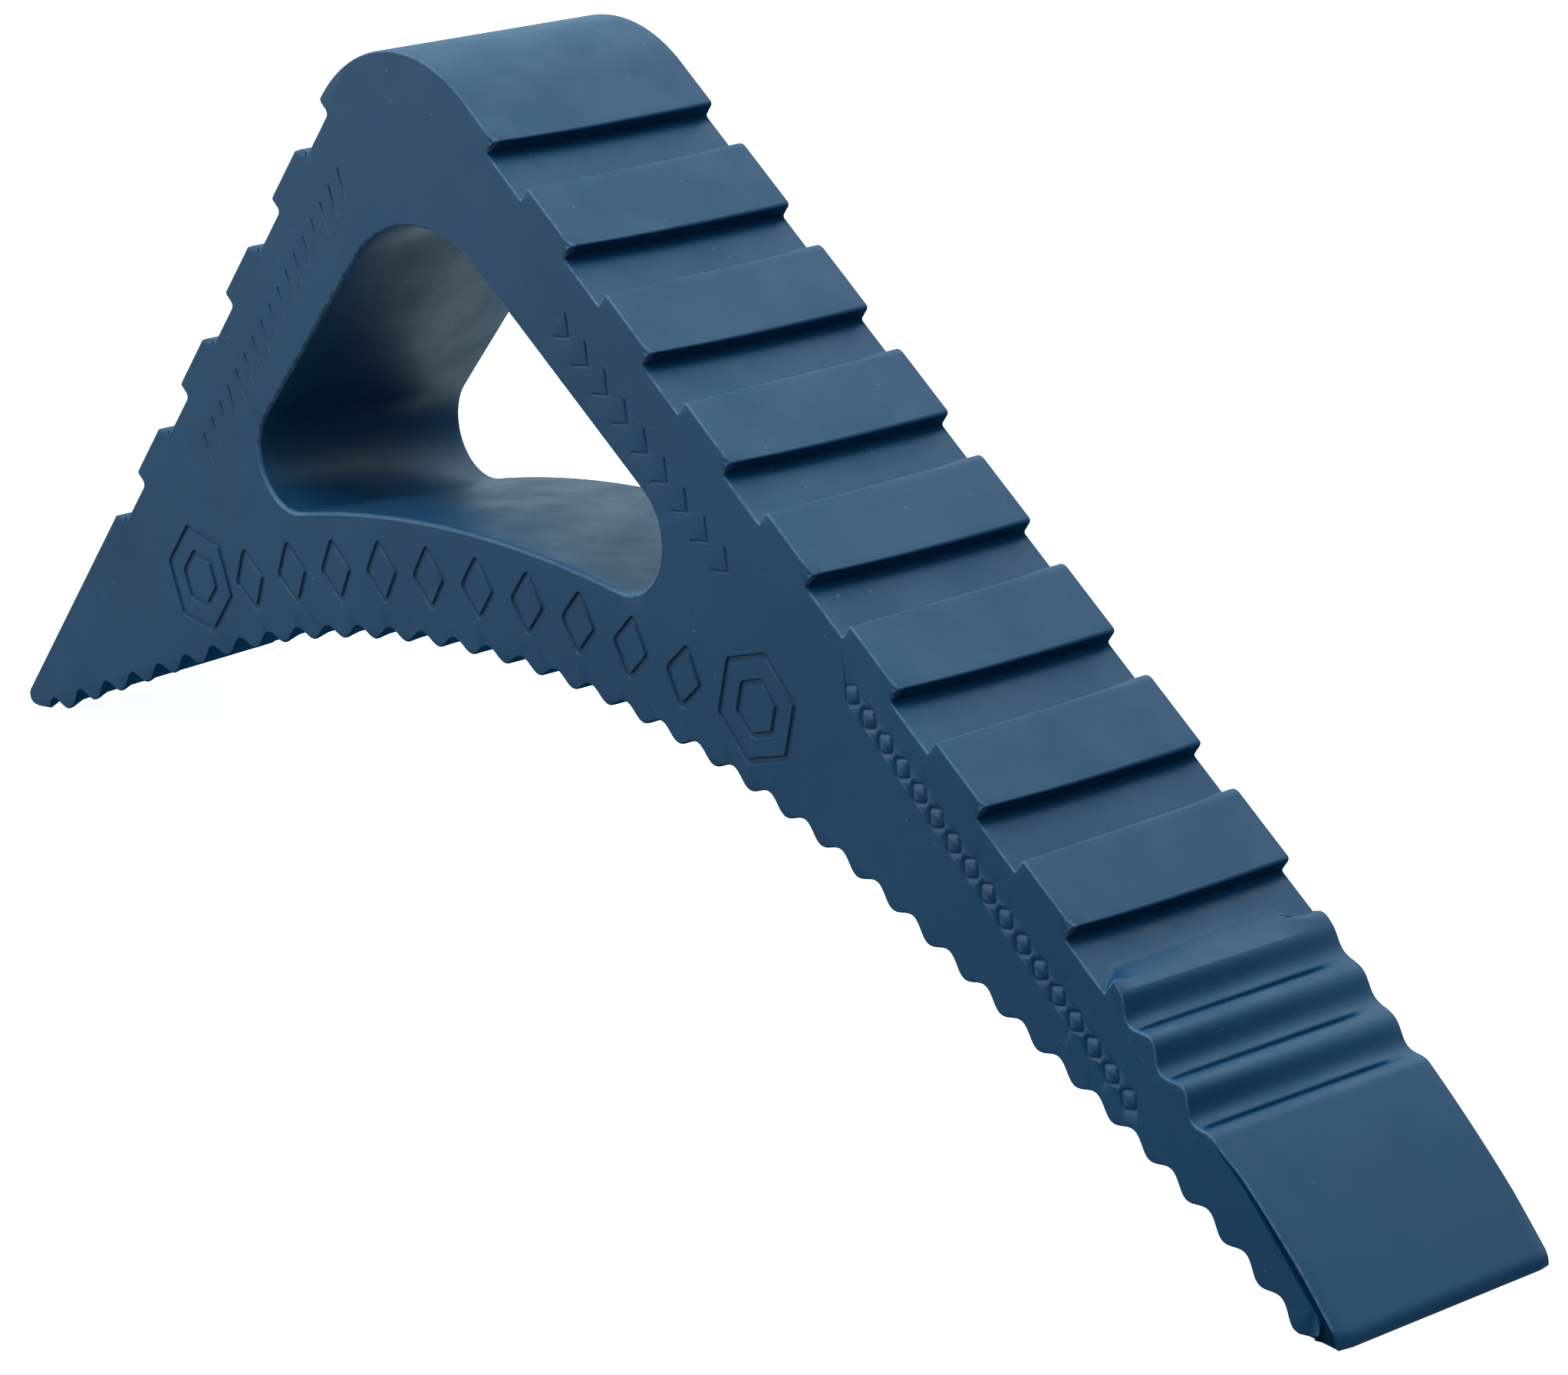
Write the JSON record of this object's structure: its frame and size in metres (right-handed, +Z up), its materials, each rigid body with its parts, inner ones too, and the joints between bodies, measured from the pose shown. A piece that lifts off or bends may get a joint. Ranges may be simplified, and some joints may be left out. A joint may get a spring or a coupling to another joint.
{
  "type": "door wedge",
  "caption": "One-piece rubber door wedge: arched, ridged underside, stepped ramp, steep stepped heel, rounded apex, finger window and a thin rippled tongue.",
  "frame": {"origin": "bottom centre of the bounding box, on the floor", "axes": "+X along the wedge from the steep heel to the thin tongue, +Y across its width, +Z up"},
  "size_m": [0.1392, 0.019, 0.0605],
  "materials": {
    "rubber": "satin dark petrol blue elastomer"
  },
  "bodies": {
    "root": {"wedge_body": "rubber"}
  },
  "joints": []
}
